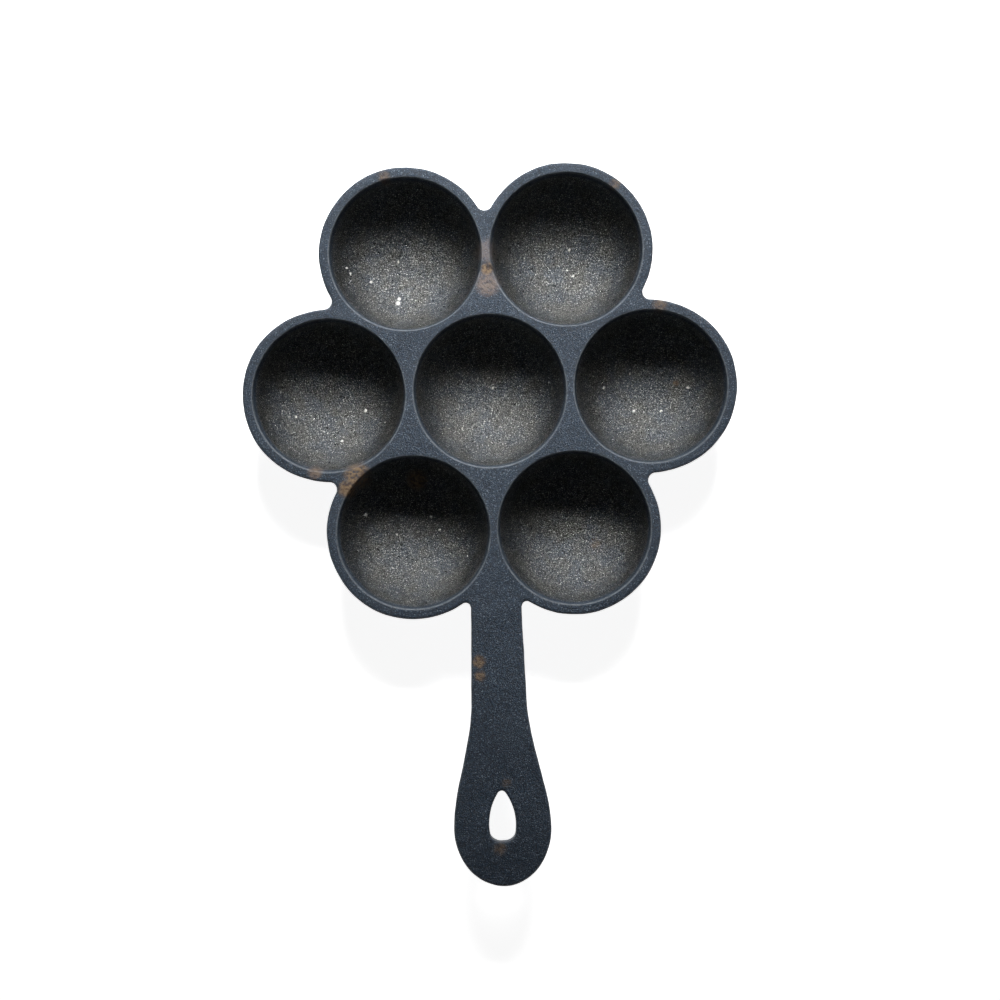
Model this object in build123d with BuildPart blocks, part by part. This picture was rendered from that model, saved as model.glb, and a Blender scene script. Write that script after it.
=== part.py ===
from build123d import *
import os
from math import cos, radians, sin, sqrt

# A cast iron aebleskiver pan. Seven round wells lie in one scalloped casting, six around one, with a
# flat handle that widens to a rounded grip with a hanging eye. The real pan is a single casting, so
# it is made whole here and then divided into named sections, which meet face to face.
# Lengths are in millimetres. The origin is on the surface that the pan stands on, under the middle
# of the centre well. +Z is up, and the handle points along -Y.

# Wells, and the iron around them
ring_count = 6              # wells around the centre one
mouth_radius = 30.0
land_width = 3.5            # deck between two neighbouring mouths
lip_round = 0.8             # edge between a well and the deck
cup_wall = 4.2              # iron around the round of a well
foot_radius = 8.5           # flat under each cup, on which the pan stands
# A well's depth, as a share of its mouth's radius: a wider well is deeper too
well_depth_share = 0.9

# Deck, the plate that joins the wells
deck_thickness = 6.0
rim_width = 4.3             # from a well's mouth to the pan's outer edge
notch_round = 2.9           # in plan, between two scallops of the outer edge
top_round = 1.3             # top edge of the outline
rim_under_round = 0.8       # lower edge of the rim
cove_round = 3.0            # between the cups and the underside of the deck

# Handle
shank_width = 18.8          # at its inner end, between the two near wells
neck_width = 22.1           # where the handle starts to widen
grip_width = 38.7
shank_length = 32.5         # from the scallops to the neck
flare_length = 50.4         # from the neck to the widest place
end_length = 23.4           # from there to the end of the handle
root_round = 1.8            # in plan, between the handle and the scallops
root_thickness = 8.0
end_thickness = 5.6
under_round = 1.6           # bottom edges of the handle
# A point on the flare, as shares of its length and of what it adds to half the width
flare_shares = (0.47, 0.45)

# Hanging eye, a teardrop with its narrow end towards the pan
eye_margin = 17.8           # iron between the eye and the end of the handle
eye_length = 19.2
eye_width = 10.3
eye_belly = 12.7            # from the narrow end to the widest place
eye_tip_round = 2.4         # in plan, at the narrow end
eye_corner_round = 3.1      # in plan, at the wide end
eye_edge_round = 1.2        # top and bottom edges

# How far a cut goes past the surfaces that it starts from
overrun = 8.0

# Degrees
handle_angle = 270          # from +X, between two wells
quarter = 90
half_turn = 180

# Worked out from the sizes above
half_step = half_turn / ring_count
ring_angles = [2 * half_step * step for step in range(ring_count)]
well_pitch = 2 * mouth_radius + land_width
ring_places = [(well_pitch * cos(radians(a)), well_pitch * sin(radians(a))) for a in ring_angles]
well_places = [(0, 0)] + ring_places
well_depth = well_depth_share * mouth_radius
sphere_radius = (mouth_radius**2 + well_depth**2) / (2 * well_depth)
centre_lift = sphere_radius - well_depth    # middle of a well's sphere, above the deck
cup_radius = sphere_radius + cup_wall
rim_radius = mouth_radius + rim_width
deck_top = sqrt(cup_radius**2 - foot_radius**2) - centre_lift
deck_under = deck_top - deck_thickness
cup_at_deck = sqrt(cup_radius**2 - (deck_thickness + centre_lift) ** 2)

# Reaches along the handle, from the middle of the pan
near_row = well_pitch * cos(radians(half_step))    # the two wells beside the handle
near_edge = near_row + rim_radius
neck_reach = near_edge + shank_length
grip_reach = neck_reach + flare_length
handle_end = grip_reach + end_length
eye_reach = handle_end - eye_margin - eye_length   # narrow end of the eye
shank_from = near_edge + top_round                 # just past the scallops
grip_from = eye_reach - eye_width

# The two wide arcs of the eye touch the round of its narrow end
eye_half = eye_width / 2
eye_rise = eye_belly - eye_tip_round
eye_side_radius = (eye_half**2 + eye_rise**2 - eye_tip_round**2) / (2 * (eye_half - eye_tip_round))


def wall(angle, reach):
    """A vertical plane that faces away from the middle at an angle, a given distance out."""
    outward = Vector(cos(radians(angle)), sin(radians(angle)), 0)
    return Plane(origin=outward * reach, z_dir=outward)


def is_upright(face):
    """Whether a face is a round one that stands straight up."""
    return face.geom_type == GeomType.CYLINDER and round(face.normal_at().Z, 6) == 0


# The hollow of one well, with its rounded lip
with BuildPart() as hollow:
    with BuildSketch(Plane.XZ):
        with BuildLine():
            bottom = (0, deck_top - well_depth)
            mouth = (mouth_radius, deck_top)
            RadiusArc(bottom, mouth, -sphere_radius)
            Polyline(
                mouth,
                (mouth_radius + overrun, deck_top),
                (mouth_radius + overrun, deck_top + overrun),
                (0, deck_top + overrun),
                bottom,
            )
        hollow_face = make_face()
        fillet(hollow_face.vertices().sort_by_distance(mouth)[0], lip_round)
    revolve(axis=Axis.Z)

# One cup from outside: a flat foot, a round wall, and a cove under the deck
with BuildPart() as cup:
    with BuildSketch(Plane.XZ):
        with BuildLine():
            foot = (foot_radius, 0)
            under = (cup_at_deck, deck_under)
            RadiusArc(foot, under, -cup_radius)
            Polyline(
                under,
                (cup_at_deck + overrun, deck_under),
                (cup_at_deck + overrun, deck_top),
                (0, deck_top),
                (0, 0),
                foot,
            )
        cup_face = make_face()
        fillet(cup_face.vertices().sort_by_distance(under)[0], cove_round)
    revolve(axis=Axis.Z)

# The handle in plan, from inside the deck to its rounded end
with BuildSketch(Plane.XY.offset(deck_top)) as handle_plan:
    with BuildLine():
        root = (shank_width / 2, -near_row)
        neck = (neck_width / 2, -neck_reach)
        grip = (grip_width / 2, -grip_reach)
        flare = (
            neck[0] + flare_shares[1] * (grip[0] - neck[0]),
            neck[1] + flare_shares[0] * (grip[1] - neck[1]),
        )
        side = Line(root, neck)
        Spline(neck, flare, grip, tangents=(side % 1, (0, -1)))
        EllipticalCenterArc((0, -grip_reach), grip_width / 2, end_length, -quarter, arc_size=quarter)
        mirror(about=Plane.YZ)
        Line(root, (-root[0], root[1]))
    make_face()

# The whole pan in plan, with its notches and the corners at the handle's root rounded
with BuildSketch(Plane.XY.offset(deck_top)) as pan_plan:
    with Locations(*well_places):
        Circle(rim_radius)
    RegularPolygon(well_pitch, ring_count)
    add(handle_plan.sketch)
    corners = pan_plan.vertices().sort_by_distance((0, 0))
    fillet(corners[: ring_count - 1], notch_round)
    fillet(corners[ring_count - 1 : ring_count + 1], root_round)

# The eye in plan: two wide arcs, cut straight at the wide end, with the tip and corners rounded
with BuildSketch(Plane.XY.offset(deck_top)) as eye_plan:
    with Locations((eye_half - eye_side_radius, -eye_reach - eye_belly)):
        Circle(eye_side_radius)
    with Locations((eye_side_radius - eye_half, -eye_reach - eye_belly)):
        Circle(eye_side_radius, mode=Mode.INTERSECT)
    with Locations((0, -eye_reach - eye_length)):
        Rectangle(eye_width, eye_side_radius, align=(Align.CENTER, Align.MAX), mode=Mode.SUBTRACT)
    eye_corners = eye_plan.vertices().sort_by(Axis.Y)
    fillet(eye_corners[:2], eye_corner_round)
    fillet(eye_corners[-1], eye_tip_round)

# The handle, thickest at its root, with a flat top flush with the deck and rounded bottom edges
with BuildPart() as handle:
    extrude(handle_plan.sketch, amount=-root_thickness)
    slope_up = Vector(0, root_thickness - end_thickness, handle_end - shank_from)
    slope = Plane(origin=(0, -shank_from, deck_top - root_thickness), x_dir=(1, 0, 0), z_dir=slope_up)
    split(bisect_by=slope, keep=Keep.TOP)
    under_edges = handle.faces().sort_by(Axis.Z)[0].edges().sort_by(Axis.Y)[:-1]
    fillet(under_edges, under_round)

# The deck plate, up to the handle's sections
with BuildPart() as deck:
    extrude(pan_plan.sketch, amount=-deck_thickness)
    split(bisect_by=wall(handle_angle, shank_from), keep=Keep.BOTTOM)

# The whole casting: the cups inside the outline, the deck and the handle, less the hollows
with BuildPart() as casting:
    with Locations(*well_places):
        add(cup.part)
    extrude(pan_plan.sketch, amount=-deck_top, mode=Mode.INTERSECT)
    add(deck.part)
    add(handle.part)
    with Locations(*well_places):
        add(hollow.part, mode=Mode.SUBTRACT)
    fillet(casting.faces().sort_by(Axis.Z)[-1].outer_wire().edges(), top_round)
    rim_sides = casting.faces().filter_by(is_upright).filter_by_position(Axis.Y, -near_row, near_edge)
    rim_under = rim_sides.edges().filter_by_position(Axis.Z, deck_under - cove_round, deck_under + rim_under_round)
    fillet(rim_under, rim_under_round)
    extrude(eye_plan.sketch, amount=-root_thickness, mode=Mode.SUBTRACT)
    fillet(casting.edges(Select.LAST).filter_by(Axis.Z, reverse=True), eye_edge_round)


def save_section(name, planes):
    """Write the stretch of the casting that lies behind every one of the planes."""
    with BuildPart() as section:
        add(casting.part)
        for plane in planes:
            split(bisect_by=plane, keep=Keep.BOTTOM)
    section.part.label = name
    export_step(section.part, "parts/" + name + ".step")


os.makedirs("parts", exist_ok=True)

# The centre well, inside a hexagon midway to its neighbours
save_section("well_centre", [wall(angle, well_pitch / 2) for angle in ring_angles])

# The wells around it, each between two walls that meet at the middle of the pan
ring_names = ["well_right", "well_far_right", "well_far_left", "well_left", "well_near_left", "well_near_right"]
for name, angle in zip(ring_names, ring_angles):
    inner = wall(angle + half_turn, -well_pitch / 2)
    sides = [wall(angle + quarter + half_step, 0), wall(angle - quarter - half_step, 0)]
    save_section(name, [inner, *sides, wall(handle_angle, shank_from)])

# The handle in two lengths
save_section("handle_shank", [wall(handle_angle + half_turn, -shank_from), wall(handle_angle, grip_from)])
save_section("handle_grip", [wall(handle_angle + half_turn, -grip_from)])
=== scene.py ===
import math

import bmesh
import bpy
import numpy as np
import openvdb
from mathutils import Matrix, Vector


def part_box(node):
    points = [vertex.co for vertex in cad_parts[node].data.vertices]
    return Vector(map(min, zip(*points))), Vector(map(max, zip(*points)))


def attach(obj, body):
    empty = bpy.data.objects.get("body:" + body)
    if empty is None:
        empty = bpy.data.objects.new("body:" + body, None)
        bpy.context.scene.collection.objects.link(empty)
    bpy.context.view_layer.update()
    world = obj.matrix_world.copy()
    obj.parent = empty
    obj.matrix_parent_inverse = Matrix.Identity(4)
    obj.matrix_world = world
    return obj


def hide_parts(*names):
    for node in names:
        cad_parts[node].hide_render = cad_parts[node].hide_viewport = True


# A seasoned cast iron aebleskiver pan, seen from straight above on a pale floor. Blender's lengths
# are metres. The iron's shape is worked out in millimetres and scaled once, where its mesh is made.

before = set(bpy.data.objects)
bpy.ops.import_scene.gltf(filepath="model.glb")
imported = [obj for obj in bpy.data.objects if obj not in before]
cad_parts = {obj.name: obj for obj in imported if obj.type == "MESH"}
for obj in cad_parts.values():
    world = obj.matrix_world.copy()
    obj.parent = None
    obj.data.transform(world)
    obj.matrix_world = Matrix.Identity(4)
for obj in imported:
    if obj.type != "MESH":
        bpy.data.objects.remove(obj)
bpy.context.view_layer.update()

MM = 0.001


def corners(node):
    """A node's lowest and highest corner in millimetres."""
    low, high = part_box(node)
    return low / MM, high / MM


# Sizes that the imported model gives
well_pitch = corners("well_centre")[1].x - corners("well_centre")[0].x
deck_top = corners("well_centre")[1].z
rim_radius = corners("well_right")[1].x - well_pitch
shank_from = -corners("handle_shank")[1].y
grip_from = -corners("handle_grip")[1].y
grip_half = corners("handle_grip")[1].x
handle_end = -corners("handle_grip")[0].y

# The wells, and the iron around them
ring_count = 6
mouth_radius = 30.0
well_depth = 27.0
lip_round = 0.8
cup_wall = 4.2
foot_round = 1.5
valley_round = 3.0          # between two cups, underneath
deck_thickness = 6.0
notch_round = 2.9
top_round = 1.3
rim_under_round = 0.8
cove_round = 3.0            # between the cups and the underside of the deck

# The handle
shank_half = 9.4            # at its inner end, between the two near wells
neck_half = 11.05
neck_reach = 121.8
neck_slope = 0.15           # of the flare's curve where it starts
flare_lag = -0.5            # how much the flare's curve hangs back in its middle
end_length = 23.4
root_round = 1.8
root_thickness = 8.0
end_thickness = 5.6
under_round = 1.6
underside_blend = 1.5       # cove where the handle's underside runs into the cups
blend_rise = 1.0            # height over which that cove fades out, above the deck's underside
least_blend = 0.01          # share of it that is left there

# The hanging eye
eye_margin = 17.8
eye_length = 19.2
eye_half = 5.15
eye_belly = 12.7
eye_tip_round = 2.4
eye_corner_round = 3.1
eye_edge_round = 1.2

# Worked out from the sizes above
half_step = math.pi / ring_count
ring_angles = [2 * half_step * step for step in range(ring_count)]
ring_places = [(well_pitch * math.cos(a), well_pitch * math.sin(a)) for a in ring_angles]
well_places = [(0.0, 0.0)] + ring_places
sphere_radius = (mouth_radius**2 + well_depth**2) / (2 * well_depth)
sphere_height = deck_top + sphere_radius - well_depth
cup_radius = sphere_radius + cup_wall
near_row = well_pitch * math.cos(half_step)
grip_reach = handle_end - end_length
eye_reach = handle_end - eye_margin - eye_length
eye_rise = eye_belly - eye_tip_round
eye_side_radius = (eye_half**2 + eye_rise**2 - eye_tip_round**2) / (2 * (eye_half - eye_tip_round))

# The skin's mesh
VOXEL = 0.6
MARGIN = 3                  # voxels round the pan
SLAB = 16                   # voxels worked out at a time
PROBE = 0.03                # how far from a point the field is read for its slope
PROBE_WAYS = ((1, -1, -1), (-1, -1, 1), (-1, 1, -1), (1, 1, 1))
NEWTON_STEPS = 2            # that bring the points onto the surface
LEAST_STEEPNESS = 0.1       # the least that the square of a slope counts as there
ON_PLANE = 0.002            # how near a vertex is to a plane that it lies on
NEARLY_ZERO = 1e-9          # keeps a divisor from being nothing


def length(*sides):
    """The length of the diagonal over sides at right angles."""
    return np.sqrt(sum(side * side for side in sides))


def round_union(a, b, radius):
    """Two fields joined, with a cove between them."""
    inner = length(np.maximum(radius - a, 0), np.maximum(radius - b, 0))
    return np.maximum(radius, np.minimum(a, b)) - inner


def round_cut(a, b, radius):
    """What two fields share, with a rounded edge between them."""
    outer = length(np.maximum(radius + a, 0), np.maximum(radius + b, 0))
    return np.minimum(-radius, np.maximum(a, b)) + outer


def deck_plan(x, y):
    """Distance in plan to the scalloped outline and the rounds at the handle's root.

    It is negative inside, as all fields here are.
    """
    field = np.full(np.broadcast(x, y).shape, -well_pitch, dtype=x.dtype)
    for angle in ring_angles:
        across = x * math.cos(angle + half_step) + y * math.sin(angle + half_step)
        field = np.maximum(field, across - near_row)
    for place in well_places:
        field = np.minimum(field, length(x - place[0], y - place[1]) - rim_radius)

    # A notch between two scallops is an arc round a point outside them
    reach = math.sqrt((rim_radius + notch_round) ** 2 - (well_pitch / 2) ** 2)
    opening = math.cos(math.atan2(well_pitch / 2, reach))
    for angle in ring_angles:
        out_x, out_y = math.cos(angle + half_step), math.sin(angle + half_step)
        from_x, from_y = x - (near_row + reach) * out_x, y - (near_row + reach) * out_y
        distance = length(from_x, from_y)
        facing = -(from_x * out_x + from_y * out_y)
        inside = (facing > distance * opening) & (distance < rim_radius + notch_round)
        field = np.where(inside, notch_round - distance, field)

    # So is a round at the handle's root, between a scallop and the handle's side
    ring_x, ring_y = well_pitch / 2, -near_row
    widening = (neck_half - shank_half) / (neck_reach - near_row)
    point_x = shank_half + widening * rim_radius + root_round
    point_y = ring_y - math.sqrt((rim_radius + root_round) ** 2 - (ring_x - point_x) ** 2)
    from_x, from_y = np.abs(x) - point_x, y - point_y
    to_x, to_y = ring_x - point_x, ring_y - point_y
    distance = length(from_x, from_y)
    inside = (to_x * from_y - to_y * from_x > 0) & (from_y > 0)
    inside = inside & (distance < rim_radius + root_round)
    return np.where(inside, root_round - distance, field)


def handle_plan(x, y):
    """Distance in plan to the handle's outline, negative inside."""
    reach = -y
    straight = shank_half + (neck_half - shank_half) * (reach - near_row) / (neck_reach - near_row)
    share = np.clip((reach - neck_reach) / (grip_reach - neck_reach), 0, 1)
    curve = share**2 * (3 - 2 * share) + neck_slope * share * (1 - share) ** 2
    curve = curve + flare_lag * share**2 * (1 - share) ** 2
    half = np.where(share > 0, neck_half + (grip_half - neck_half) * curve, straight)
    side = np.abs(x) - half
    past = np.maximum(reach - grip_reach, 0)
    round_x, round_y = x / grip_half, past / end_length
    size = length(round_x, round_y) + NEARLY_ZERO
    slope = length(round_x / grip_half, round_y / end_length) + NEARLY_ZERO
    end = size * (size - 1) / slope
    return np.maximum(np.where(past > 0, end, side), near_row - reach)


def eye_plan(x, y):
    """Distance in plan to the hanging eye's outline, negative inside the hole."""
    across = eye_side_radius - eye_half
    along = y + eye_reach + eye_belly
    left = length(x - across, along) - eye_side_radius
    right = length(x + across, along) - eye_side_radius
    heel = -(y + eye_reach + eye_length)
    return round_cut(round_cut(left, right, eye_tip_round), heel, eye_corner_round)


def iron(x, y, z):
    """Distance to the casting's surface, negative in the iron."""
    plan = deck_plan(x, y)
    deck_under = deck_top - deck_thickness
    cups = None
    for place in well_places:
        ball = length(x - place[0], y - place[1], z - sphere_height) - cup_radius
        cups = ball if cups is None else round_union(cups, ball, valley_round)
    cups = round_cut(cups, -z, foot_round)
    pan = round_cut(plan, round_union(cups, deck_under - z, cove_round), rim_under_round)

    taper = np.clip((-y - shank_from) / (handle_end - shank_from), 0, 1)
    handle_under = deck_top - root_thickness + (root_thickness - end_thickness) * taper
    handle = round_cut(handle_plan(x, y), handle_under - z, under_round)
    blend = np.clip((deck_under + blend_rise - z) / blend_rise, least_blend, 1) * underside_blend
    body = round_union(pan, handle, blend)

    body = round_cut(body, z - deck_top, top_round)
    for place in well_places:
        hollow = length(x - place[0], y - place[1], z - sphere_height) - sphere_radius
        body = round_cut(body, -hollow, lip_round)
    return round_cut(body, -eye_plan(x, y), eye_edge_round)


# Waves that leave the cast surface slightly uneven: how many, their length and their height
RELIEF = ((18, 34.0, 0.10), (22, 13.0, 0.045), (26, 5.0, 0.02))
RELIEF_SEED = 7
relief_random = np.random.default_rng(RELIEF_SEED)
relief_waves = []
for wave_count, wave_length, wave_height in RELIEF:
    ways = relief_random.normal(size=(wave_count, 3))
    ways *= 2 * math.pi / wave_length / np.linalg.norm(ways, axis=1, keepdims=True)
    phases = relief_random.uniform(0, 2 * math.pi, wave_count)
    relief_waves.append((ways, phases, wave_height / math.sqrt(wave_count)))
relief_middle = sum(row[2] for row in RELIEF)


def relief(points):
    """How far the surface lies under its ideal shape, in millimetres, never above it."""
    total = np.full(len(points), relief_middle)
    for ways, phases, height in relief_waves:
        total += height * np.sin(points @ ways.T + phases).sum(axis=1)
    return np.maximum(total, 0)


def relief_slope(points):
    """The way in which that depth grows fastest at each point, with its rate."""
    slope = np.zeros_like(points)
    for ways, phases, height in relief_waves:
        slope += height * np.cos(points @ ways.T + phases) @ ways
    return slope * (relief(points) > 0)[:, None]


def iron_slope(points):
    """The way out of the ideal shape at each point, with its length."""
    slope = np.zeros_like(points)
    for way in PROBE_WAYS:
        slope += iron(*(points + PROBE * np.array(way)).T)[:, None] * way
    return slope / (PROBE * len(PROBE_WAYS))


def make_skin():
    """The whole casting's surface: points in millimetres, and quads that face out."""
    boxes = [corners(node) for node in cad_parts]
    low = np.array([min(box[0][axis] for box in boxes) for axis in range(3)])
    high = np.array([max(box[1][axis] for box in boxes) for axis in range(3)])
    counts = np.ceil((high - low) / VOXEL).astype(int) + 2 * MARGIN + 1
    axes = [(low[k] + (np.arange(counts[k]) - MARGIN) * VOXEL).astype(np.float32) for k in range(3)]
    values = np.empty(counts, dtype=np.float32)
    for start in range(0, counts[0], SLAB):
        slab = slice(start, start + SLAB)
        x, y, z = axes[0][slab, None, None], axes[1][None, :, None], axes[2][None, None, :]
        values[slab] = iron(x, y, z)
    grid = openvdb.FloatGrid()
    grid.background = float(values.max())
    grid.copyFromArray(values)
    points, quads = grid.convertToQuads(isovalue=0.0)
    points = low + (points.astype(float) - MARGIN) * VOXEL
    for _ in range(NEWTON_STEPS):
        value = iron(*points.T) + relief(points)
        slope = iron_slope(points)
        steepness = np.maximum((slope * slope).sum(axis=1), LEAST_STEEPNESS)
        shift = np.clip(value / steepness, -VOXEL, VOXEL)
        points = points - shift[:, None] * slope
    return np.clip(points, low, high), quads


def wall(angle, reach):
    """A vertical plane that faces away from the middle at an angle, a given distance out."""
    return math.cos(angle), math.sin(angle), reach


# The walls that each section lies behind
handle_angle = -math.pi / 2
section_walls = {"well_centre": [wall(angle, well_pitch / 2) for angle in ring_angles]}
ring_names = ["well_right", "well_far_right", "well_far_left", "well_left"]
ring_names += ["well_near_left", "well_near_right"]
for name, angle in zip(ring_names, ring_angles):
    section_walls[name] = [
        wall(angle + math.pi, -well_pitch / 2),
        wall(angle + math.pi / 2 + half_step, 0),
        wall(angle - math.pi / 2 - half_step, 0),
        wall(handle_angle, shank_from),
    ]
section_walls["handle_shank"] = [
    wall(handle_angle + math.pi, -shank_from),
    wall(handle_angle, grip_from),
]
section_walls["handle_grip"] = [wall(handle_angle + math.pi, -grip_from)]


def cut_section(name, points, quads, walls):
    """A mesh of the skin's part behind every wall, closed by flat faces, and the walls' ways."""
    ways = np.array([[row[0], row[1], 0.0] for row in walls])
    reaches = np.array([row[2] for row in walls])
    past = (points @ ways.T - reaches).max(axis=1)
    used, faces = np.unique(quads[(past[quads] < 0).any(axis=1)], return_inverse=True)
    mesh = bpy.data.meshes.new(name)
    mesh.from_pydata(points[used], [], faces.reshape(-1, 4))
    bm = bmesh.new()
    bm.from_mesh(mesh)
    for way, reach in zip(ways, reaches):
        whole = bm.verts[:] + bm.edges[:] + bm.faces[:]
        bmesh.ops.bisect_plane(
            bm, geom=whole, dist=ON_PLANE / 2, plane_co=way * reach, plane_no=way, clear_outer=True
        )

    # Close it, wall by wall, with an upright edge where two walls meet. The layer tells each face's
    # wall, counted from one, and leaves the skin at none.
    rim = [vertex for vertex in bm.verts if vertex.is_boundary]
    places = np.array([vertex.co for vertex in rim])
    touches = np.abs(places @ ways.T - reaches) < ON_PLANE
    on = {vertex: set(np.flatnonzero(row)) for vertex, row in zip(rim, touches)}
    rim_edges = [edge for edge in bm.edges if edge.is_boundary]
    corner_ends = {}
    for vertex in rim:
        if len(on[vertex]) == 2:
            corner_ends.setdefault(tuple(sorted(on[vertex])), []).append(vertex)
    rim_edges += [bm.edges.new(ends) for ends in corner_ends.values()]
    cut = bm.faces.layers.int.new("cut")
    for k, way in enumerate(ways):
        edges = [edge for edge in rim_edges if all(k in on[vertex] for vertex in edge.verts)]
        if not edges:
            continue
        closing = bmesh.ops.edgeloop_fill(bm, edges=edges)["faces"]
        for face in closing:
            face.normal_update()
            if face.normal.dot(Vector(way)) < 0:
                face.normal_flip()
        for face in bmesh.ops.triangulate(bm, faces=closing, ngon_method="EAR_CLIP")["faces"]:
            face[cut] = k + 1
    bm.to_mesh(mesh)
    bm.free()
    return mesh, ways


def finish_mesh(mesh, ways):
    """Scale a section to metres, and give it normals: exact ones on the skin, so that its small
    rounds shade cleanly, and flat ones on the cuts.
    """
    places = np.empty(3 * len(mesh.vertices), dtype=np.float32)
    mesh.vertices.foreach_get("co", places)
    places = places.reshape(-1, 3).astype(float)
    out = iron_slope(places) + relief_slope(places)
    out /= np.linalg.norm(out, axis=1, keepdims=True)
    corner_vertices = np.empty(len(mesh.loops), dtype=np.int32)
    mesh.loops.foreach_get("vertex_index", corner_vertices)
    cuts = np.empty(len(mesh.polygons), dtype=np.int32)
    mesh.attributes["cut"].data.foreach_get("value", cuts)
    sides = np.empty(len(mesh.polygons), dtype=np.int32)
    mesh.polygons.foreach_get("loop_total", sides)
    corner_cuts = np.repeat(cuts, sides)
    normals = np.where((corner_cuts > 0)[:, None], ways[corner_cuts - 1], out[corner_vertices])
    mesh.attributes.remove(mesh.attributes["cut"])
    mesh.polygons.foreach_set("use_smooth", np.ones(len(mesh.polygons), dtype=bool))
    mesh.transform(Matrix.Scale(MM, 4))
    mesh.normals_split_custom_set(normals)


# The photograph's frame, in its pixels, and the camera straight above the pan
PHOTO_PIXELS = 1000
PIXEL_SIZE = 0.3937         # of one pixel at the deck's height, in millimetres
PAN_MIDDLE = (489.8, 390.7)
CAMERA_HEIGHT = 700.0       # above the deck
SENSOR = 36.0
TURN = math.radians(-1.7)
PLACE_STEPS = 4             # to find a mark down in a well


def place_of(pixel_x, pixel_y):
    """The place in plan, in millimetres, that a pixel of the photograph shows on the deck."""
    right = (pixel_x - PAN_MIDDLE[0]) * PIXEL_SIZE
    up = (PAN_MIDDLE[1] - pixel_y) * PIXEL_SIZE
    return np.array([
        right * math.cos(TURN) - up * math.sin(TURN), right * math.sin(TURN) + up * math.cos(TURN)
    ])


def place_on_iron(pixel_x, pixel_y):
    """The same for a mark that may lie down in a well."""
    axis = place_of(PHOTO_PIXELS / 2, PHOTO_PIXELS / 2)
    on_deck = place_of(pixel_x, pixel_y)
    place = on_deck
    for _ in range(PLACE_STEPS):
        from_well = min(np.linalg.norm(place - np.array(well)) for well in well_places)
        depth = 0.0
        if from_well < mouth_radius:
            depth = deck_top - sphere_height + math.sqrt(sphere_radius**2 - from_well**2)
        place = axis + (on_deck - axis) * (CAMERA_HEIGHT + depth) / CAMERA_HEIGHT
    return place


SPOT_CORE = 0.35            # share of a spot's radius at full strength
MIX_INPUTS = (0, 6, 7)      # the sockets of a mix node for the share and for two colours
MIX_RESULT = 2


class Nodes:
    """A material's or world's node tree, built by calls that return sockets."""

    def __init__(self, tree):
        self.tree = tree

    def add(self, kind, *inputs, out=0, **options):
        """An output of a new node, whose inputs are given in order as sockets or values."""
        node = self.tree.nodes.new("ShaderNode" + kind)
        for option, value in options.items():
            setattr(node, option, value)
        for place, value in enumerate(inputs):
            if isinstance(value, bpy.types.NodeSocket):
                self.tree.links.new(value, node.inputs[place])
            elif value is not None:
                node.inputs[place].default_value = value
        return node.outputs[out]

    def math(self, operation, *values):
        """What an operation makes of one or two numbers."""
        return self.add("Math", *values, operation=operation)

    def ramp(self, value, low, high, to_low=0.0, to_high=1.0):
        """A smooth step from one value to another."""
        limits = (low, high, to_low, to_high)
        return self.add("MapRange", value, *limits, interpolation_type="SMOOTHSTEP")

    def noise(self, where, size, detail=2.0, roughness=0.5):
        """Noise from 0 to 1 with features of about a size in millimetres."""
        node = self.tree.nodes.new("ShaderNodeTexNoise")
        self.tree.links.new(where, node.inputs["Vector"])
        node.inputs["Scale"].default_value = 1 / (size * MM)
        node.inputs["Detail"].default_value = detail
        node.inputs["Roughness"].default_value = roughness
        return node.outputs["Fac"]

    def mix(self, share, low, high):
        """A colour between two."""
        node = self.tree.nodes.new("ShaderNodeMix")
        node.data_type = "RGBA"
        for place, value in zip(MIX_INPUTS, (share, low, high)):
            socket = node.inputs[place]
            if isinstance(value, bpy.types.NodeSocket):
                self.tree.links.new(value, socket)
            elif isinstance(value, tuple):
                socket.default_value = (*value, 1.0)
            else:
                socket.default_value = value
        return node.outputs[MIX_RESULT]

    def spots(self, where, rows):
        """The greatest of a table of soft round spots: pixel x and y, radius, strength."""
        total = None
        for pixel_x, pixel_y, radius, strength in rows:
            place = place_on_iron(pixel_x, pixel_y)
            middle = (place[0] * MM, place[1] * MM, 0.0)
            distance = self.add("VectorMath", where, middle, operation="DISTANCE", out="Value")
            spot = self.ramp(distance, radius * MM, radius * MM * SPOT_CORE, 0.0, strength)
            total = spot if total is None else self.math("MAXIMUM", total, spot)
        return total


# Marks on the iron, by the photograph's pixels: x, y, radius in millimetres, strength
RUST = (
    (487, 268, 3.6, 0.9), (487, 286, 5.5, 0.25), (357, 476, 6.8, 1.0), (347, 489, 4.6, 1.0),
    (315, 472, 3.5, 0.5), (417, 480, 5.5, 1.0), (384, 177, 3.2, 0.5), (615, 184, 3.0, 0.4),
    (660, 305, 4.0, 0.45), (479, 662, 3.4, 0.8), (480, 676, 3.0, 0.7), (500, 849, 3.5, 0.4),
    (507, 783, 2.6, 0.3), (676, 383, 1.6, 0.8), (595, 543, 3.0, 0.35),
)
CRACKS = ((490, 266, 1.0, 0.9), (492, 268, 0.8, 0.9), (487, 267, 0.7, 0.7))
PINK = ((486, 250, 6.0, 0.5), (488, 283, 6.5, 0.6), (315, 472, 4.0, 0.4))
# Pale crumbs in the wells: x, y, radius
CRUMBS = (
    (398, 262, 0.5), (371, 282, 0.6), (398, 303, 0.9), (399, 299, 0.7), (347, 268, 0.45),
    (351, 274, 0.45), (569, 250, 0.6), (573, 276, 0.55), (567, 270, 0.4), (296, 417, 0.6),
    (365, 411, 0.8), (342, 441, 0.6), (493, 388, 0.6), (604, 388, 0.65), (630, 374, 0.5),
    (634, 411, 0.7), (661, 411, 0.5), (688, 388, 0.5), (366, 515, 0.7), (397, 535, 0.5),
    (431, 517, 0.55), (439, 530, 0.55), (611, 500, 0.4), (613, 501, 0.4),
)

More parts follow.
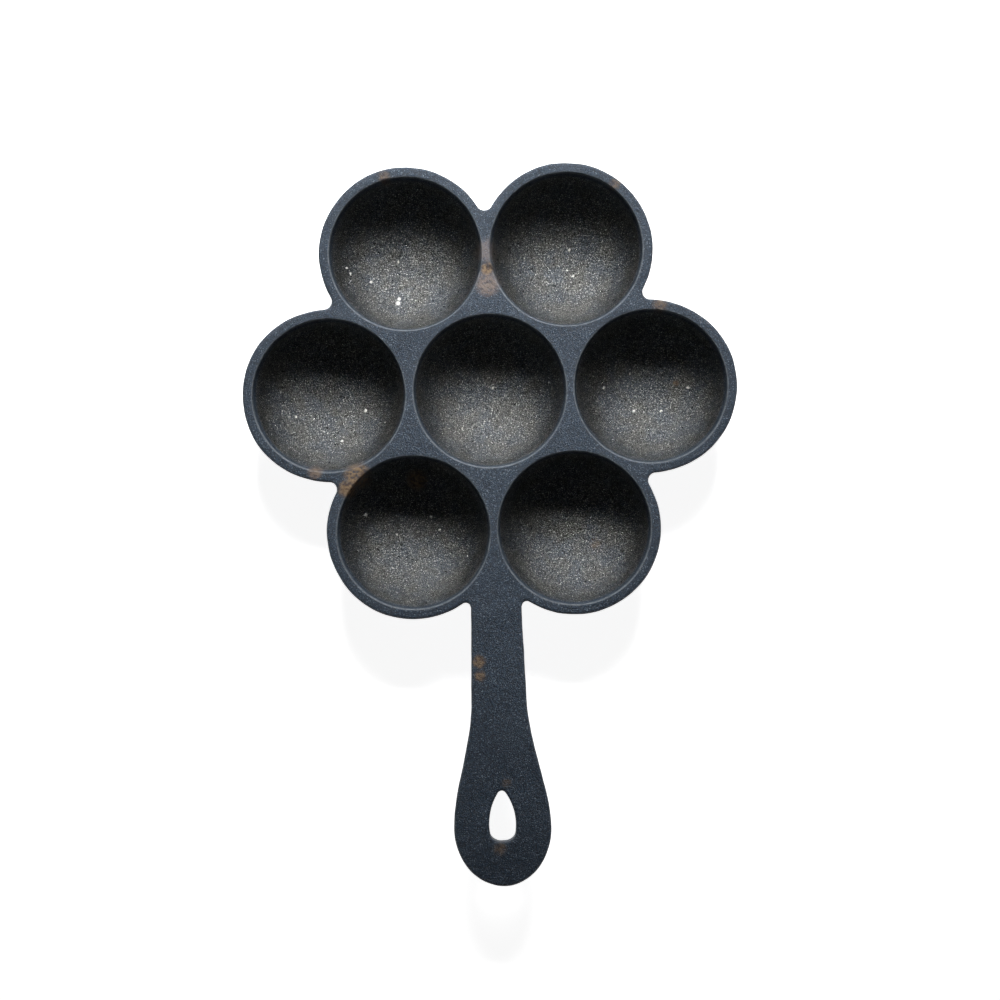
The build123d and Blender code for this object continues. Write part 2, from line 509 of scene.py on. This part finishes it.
# The looks of the deck and of the wells: two colours, and the part of a slow noise over which one
# turns into the other, with dark pits and pale flecks and how strong they are
DECK_LOOK = {
    "colours": ((0.017, 0.033, 0.058), (0.028, 0.048, 0.078)), "limits": (0.3, 0.7),
    "pit": (0.006, 0.010, 0.016), "pit_share": 0.85,
    "fleck": (0.20, 0.26, 0.32), "fleck_share": 0.6,
}
WELL_LOOK = {
    "colours": ((0.125, 0.140, 0.160), (0.150, 0.150, 0.142)), "limits": (0.35, 0.65),
    "pit": (0.010, 0.012, 0.012), "pit_share": 0.8,
    "fleck": (0.75, 0.75, 0.72), "fleck_share": 0.8,
}
DUST_COLOUR, DUST_SHARE = (0.66, 0.65, 0.61), 0.5
# The lips' paler colour is partly real wear and partly a painted highlight of light catching their
# rounded edge, all round each mouth
LIP_WEAR_AND_HIGHLIGHT_COLOUR = (0.17, 0.19, 0.21)
PINK_COLOUR = (0.24, 0.19, 0.17)
RUST_COLOURS = ((0.075, 0.042, 0.025), (0.24, 0.165, 0.095))
CRACK_COLOUR = (0.020, 0.010, 0.006)
CRUMB_COLOUR = (0.78, 0.77, 0.74)

# Noises: size in millimetres, detail and roughness
GRAIN = (0.45, 2.0, 0.6)
PITS = (1.5, 2.0, 0.55)
CLOUD = (9.0, 3.0, 0.6)
PATCH = (34.0, 3.0, 0.55)
FLECKS = (0.42, 0.0)
DUST = (0.75, 1.0)

# Where a noise starts to count and where it counts in full
GRAIN_LIMITS = (0.40, 0.60)
FLECK_LIMITS = (0.66, 0.76)
DUST_LIMITS = (0.66, 0.74)
LIP_WEAR_AND_HIGHLIGHT_LIMITS, LIP_WEAR_AND_HIGHLIGHT_STRENGTH = (0.3, 0.7), (0.3, 0.9)
PINK_LIMITS, PINK_STRENGTH = (0.3, 0.6), (0.4, 1.0)
RUST_LIMITS = (0.28, 0.50)
RUST_COLOUR_LIMITS = (0.35, 0.65)
CLOUD_IN_RUST = 0.6         # the rest of the noise that breaks up the rust is pits
FACES_UP = (-0.15, 0.05)    # the upright part of a face's normal

# Millimetres from a well's mouth, inwards or outwards
WELL_STARTS, WELL_FULL = 0.3, 1.1
# How far that band of lip wear and painted highlight reaches inwards and outwards
LIP_WEAR_AND_HIGHLIGHT_INSIDE, LIP_WEAR_AND_HIGHLIGHT_OUTSIDE = 0.2, 0.3

CRUMB_SPREAD = 1.35         # a crumb's soft edge, as a share of its radius
CRUMB_WOBBLE = 1.1          # size of the bends in that edge
CRUMB_SHAKE = 1.6           # and how far they go

ROUGHNESS_LIMITS, ROUGHNESS = (0.25, 0.75), (0.44, 0.60)
WELL_ROUGHNESS = -0.18      # added to the iron's
RUST_ROUGHNESS = 0.3
MOST_ROUGHNESS = 0.9
WELL_METALLIC = 0.85
SPECULAR = 0.5

# The bump's height in millimetres, and what each thing adds as a share of it
BUMP_HEIGHT = 0.34
GRAIN_HEIGHT = 1.3
PIT_HEIGHT = 0.5
WELL_EXTRA_HEIGHT = 0.2
CRUMB_HEIGHT = 1.5


def cast_colour(nodes, slow, grain, flecks, look):
    """The colour of cast iron with pits and flecks, by a table such as DECK_LOOK."""
    colour = nodes.mix(nodes.ramp(slow, *look["limits"]), *look["colours"])
    pitted = nodes.mix(look["pit_share"], colour, look["pit"])
    colour = nodes.mix(nodes.ramp(grain, *GRAIN_LIMITS), pitted, colour)
    return nodes.mix(nodes.math("MULTIPLY", flecks, look["fleck_share"]), colour, look["fleck"])


def seasoned_iron():
    """Blue-black seasoned cast iron: grain, barer and greyer wells, lips paler partly from wear and
    partly from a painted highlight, a little rust.
    """
    material = bpy.data.materials.new("seasoned_cast_iron")
    material.use_nodes = True
    nodes = Nodes(material.node_tree)
    shader = material.node_tree.nodes["Principled BSDF"]
    link = material.node_tree.links.new
    where = nodes.add("TexCoord", out="Object")
    flat = nodes.add("VectorMath", where, (1.0, 1.0, 0.0), operation="MULTIPLY")

    # How far a point is from the middle of the nearest well, and whether its face looks up
    nearest = None
    for place in well_places:
        middle = (place[0] * MM, place[1] * MM, 0.0)
        distance = nodes.add("VectorMath", flat, middle, operation="DISTANCE", out="Value")
        nearest = distance if nearest is None else nodes.math("MINIMUM", nearest, distance)
    upright = nodes.add("SeparateXYZ", nodes.add("NewGeometry", out="Normal"), out="Z")
    faces_up = nodes.ramp(upright, *FACES_UP)

    def from_mouth(low, high):
        """A smooth step between two distances outwards from a mouth's edge."""
        return nodes.ramp(nearest, (mouth_radius + low) * MM, (mouth_radius + high) * MM)

    in_well = nodes.math("MULTIPLY", from_mouth(-WELL_STARTS, -WELL_FULL), faces_up)
    lip_outside = from_mouth(lip_round, LIP_WEAR_AND_HIGHLIGHT_OUTSIDE)
    lip_inside = from_mouth(-LIP_WEAR_AND_HIGHLIGHT_INSIDE, LIP_WEAR_AND_HIGHLIGHT_INSIDE)
    lip = nodes.math("MULTIPLY", faces_up, nodes.math("MULTIPLY", lip_outside, lip_inside))

    grain = nodes.noise(where, *GRAIN)
    pits = nodes.noise(where, *PITS)
    cloud = nodes.noise(where, *CLOUD)
    patch = nodes.noise(where, *PATCH)
    flecks = nodes.ramp(nodes.noise(where, *FLECKS), *FLECK_LIMITS)
    dust = nodes.ramp(nodes.noise(where, *DUST), *DUST_LIMITS)

    deck = cast_colour(nodes, patch, grain, flecks, DECK_LOOK)
    well = cast_colour(nodes, cloud, grain, flecks, WELL_LOOK)
    well = nodes.mix(nodes.math("MULTIPLY", dust, DUST_SHARE), well, DUST_COLOUR)
    colour = nodes.mix(in_well, deck, well)
    # Paler lips: partly wear, partly a painted highlight where light catches the rounded mouth
    # edges
    lip_wear_and_highlight = nodes.math("MULTIPLY", lip, nodes.ramp(pits, *LIP_WEAR_AND_HIGHLIGHT_LIMITS, *LIP_WEAR_AND_HIGHLIGHT_STRENGTH))
    colour = nodes.mix(lip_wear_and_highlight, colour, LIP_WEAR_AND_HIGHLIGHT_COLOUR)

    pink = nodes.ramp(pits, *PINK_LIMITS, *PINK_STRENGTH)
    pink = nodes.math("MULTIPLY", nodes.spots(flat, PINK), pink)
    pink = nodes.math("MULTIPLY", pink, faces_up)
    colour = nodes.mix(pink, colour, PINK_COLOUR)
    clouds = nodes.math("MULTIPLY", cloud, CLOUD_IN_RUST)
    broken = nodes.math("ADD", clouds, nodes.math("MULTIPLY", pits, 1 - CLOUD_IN_RUST))
    broken = nodes.math("MULTIPLY", nodes.ramp(broken, *RUST_LIMITS), faces_up)
    rust = nodes.math("MULTIPLY", nodes.spots(flat, RUST), broken)
    rust_colour = nodes.mix(nodes.ramp(pits, *RUST_COLOUR_LIMITS), *RUST_COLOURS)
    colour = nodes.mix(rust, colour, rust_colour)
    cracks = nodes.math("MULTIPLY", nodes.spots(flat, CRACKS), faces_up)
    colour = nodes.mix(cracks, colour, CRACK_COLOUR)

    # Crumbs, with their outlines bent by a noise
    crumb_rows = [(x, y, CRUMB_SPREAD * radius, 1.0) for x, y, radius in CRUMBS]
    wobble = nodes.add("TexNoise", where, None, 1 / (CRUMB_WOBBLE * MM), out="Color")
    shake = nodes.add("VectorMath", wobble, (0.5, 0.5, 0.5), operation="SUBTRACT")
    reach = (CRUMB_SHAKE * MM, CRUMB_SHAKE * MM, 0.0)
    shake = nodes.add("VectorMath", shake, reach, operation="MULTIPLY")
    shaken = nodes.add("VectorMath", flat, shake, operation="ADD")
    crumbs = nodes.math("MULTIPLY", nodes.spots(shaken, crumb_rows), faces_up)
    colour = nodes.mix(crumbs, colour, CRUMB_COLOUR)
    link(colour, shader.inputs["Base Color"])

    rough = nodes.ramp(pits, *ROUGHNESS_LIMITS, *ROUGHNESS)
    rough = nodes.math("ADD", rough, nodes.math("MULTIPLY", in_well, WELL_ROUGHNESS))
    rough = nodes.math("ADD", rough, nodes.math("MULTIPLY", rust, RUST_ROUGHNESS))
    link(nodes.math("MINIMUM", rough, MOST_ROUGHNESS), shader.inputs["Roughness"])
    bare = nodes.math("SUBTRACT", 1.0, nodes.math("MAXIMUM", rust, crumbs))
    metallic = nodes.math("MULTIPLY", nodes.math("MULTIPLY", in_well, WELL_METALLIC), bare)
    link(metallic, shader.inputs["Metallic"])
    shader.inputs["Specular IOR Level"].default_value = SPECULAR

    height = nodes.math("MULTIPLY", grain, GRAIN_HEIGHT)
    height = nodes.math("ADD", height, nodes.math("MULTIPLY", pits, PIT_HEIGHT))
    in_well_height = nodes.math("ADD", 1.0, nodes.math("MULTIPLY", in_well, WELL_EXTRA_HEIGHT))
    height = nodes.math("MULTIPLY", height, in_well_height)
    height = nodes.math("ADD", height, nodes.math("MULTIPLY", crumbs, CRUMB_HEIGHT))
    bump = nodes.tree.nodes.new("ShaderNodeBump")
    bump.inputs["Strength"].default_value = 1.0
    bump.inputs["Distance"].default_value = BUMP_HEIGHT * MM
    link(height, bump.inputs["Height"])
    link(bump.outputs[0], shader.inputs["Normal"])
    return material


iron_material = seasoned_iron()
skin_points, skin_quads = make_skin()
for name, walls in section_walls.items():
    mesh, ways = cut_section(name, skin_points, skin_quads, walls)
    finish_mesh(mesh, ways)
    mesh.materials.append(iron_material)
    section = bpy.data.objects.new(name + "_casting", mesh)
    bpy.context.collection.objects.link(section)
    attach(section, "root")
    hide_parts(name)

# A pale floor, which shows white and keeps the pan's shadow
FLOOR_HALF = 4.0
FLOOR_GREY = (0.86, 0.86, 0.86, 1.0)
FLOOR_GLOW = 0.9            # as it is seen, which lights nothing
FLOOR_ROUGHNESS = 0.9
FLOOR_SPECULAR = 0.1
WHITE = (1.0, 1.0, 1.0, 1.0)
floor_mesh = bpy.data.meshes.new("floor")
ends = (-FLOOR_HALF, FLOOR_HALF)
floor_mesh.from_pydata([(x, y, 0.0) for x in ends for y in ends], [], [(0, 2, 3, 1)])
floor = bpy.data.objects.new("floor", floor_mesh)
bpy.context.collection.objects.link(floor)
floor_material = bpy.data.materials.new("pale_floor")
floor_material.use_nodes = True
floor_nodes = Nodes(floor_material.node_tree)
floor_shader = floor_material.node_tree.nodes["Principled BSDF"]
floor_shader.inputs["Base Color"].default_value = FLOOR_GREY
floor_shader.inputs["Roughness"].default_value = FLOOR_ROUGHNESS
floor_shader.inputs["Specular IOR Level"].default_value = FLOOR_SPECULAR
ray = floor_nodes.tree.nodes.new("ShaderNodeLightPath")
seen = floor_nodes.math("MAXIMUM", ray.outputs["Is Camera Ray"], ray.outputs["Is Glossy Ray"])
seen = floor_nodes.math("MAXIMUM", seen, ray.outputs["Is Transmission Ray"])
floor_shader.inputs["Emission Color"].default_value = WHITE
glow = floor_nodes.math("MULTIPLY", seen, FLOOR_GLOW)
floor_nodes.tree.links.new(glow, floor_shader.inputs["Emission Strength"])
floor_mesh.materials.append(floor_material)

# Soft studio light: one large lamp beyond the far wells, and pale walls under a dim ceiling
WALL_LIGHT, CEILING_LIGHT = 0.6, 0.02
WALL_TOP = (0.03, 0.30)     # upright part of the way there, where the walls start to fade and end
world = bpy.data.worlds.new("studio")
bpy.context.scene.world = world
world.use_nodes = True
world_nodes = Nodes(world.node_tree)
way_up = world_nodes.add("SeparateXYZ", world_nodes.add("TexCoord"), out="Z")
level = world_nodes.ramp(way_up, *WALL_TOP, WALL_LIGHT, CEILING_LIGHT)
background = world.node_tree.nodes["Background"]
world_nodes.tree.links.new(level, background.inputs["Strength"])
background.inputs["Color"].default_value = WHITE

# The lamp, in metres and watts. Its narrow spread keeps the far side of each well dark.
KEY_PLACE = Vector((0.03, 0.42, 0.38))
KEY_AIM = Vector((0.0, 0.06, 0.03))
KEY_SIZE = (0.30, 0.22)
KEY_POWER = 0.62
KEY_SPREAD = math.radians(44)
key_data = bpy.data.lights.new("key", "AREA")
key_data.shape = "RECTANGLE"
key_data.size, key_data.size_y = KEY_SIZE
key_data.energy = KEY_POWER
key_data.spread = KEY_SPREAD
key = bpy.data.objects.new("key", key_data)
bpy.context.collection.objects.link(key)
key.location = KEY_PLACE
key.rotation_euler = (KEY_AIM - KEY_PLACE).to_track_quat("-Z", "Y").to_euler()

# The camera looks straight down, and the pan stands left of and above the middle of the frame
camera_data = bpy.data.cameras.new("camera")
camera_data.sensor_width = SENSOR
camera_data.lens = SENSOR * CAMERA_HEIGHT / (PHOTO_PIXELS * PIXEL_SIZE)
camera = bpy.data.objects.new("camera", camera_data)
bpy.context.collection.objects.link(camera)
frame_middle = place_of(PHOTO_PIXELS / 2, PHOTO_PIXELS / 2)
camera.location = (frame_middle[0] * MM, frame_middle[1] * MM, (deck_top + CAMERA_HEIGHT) * MM)
camera.rotation_euler = (0.0, 0.0, TURN)
bpy.context.scene.camera = camera
bpy.context.scene.view_settings.view_transform = "Standard"
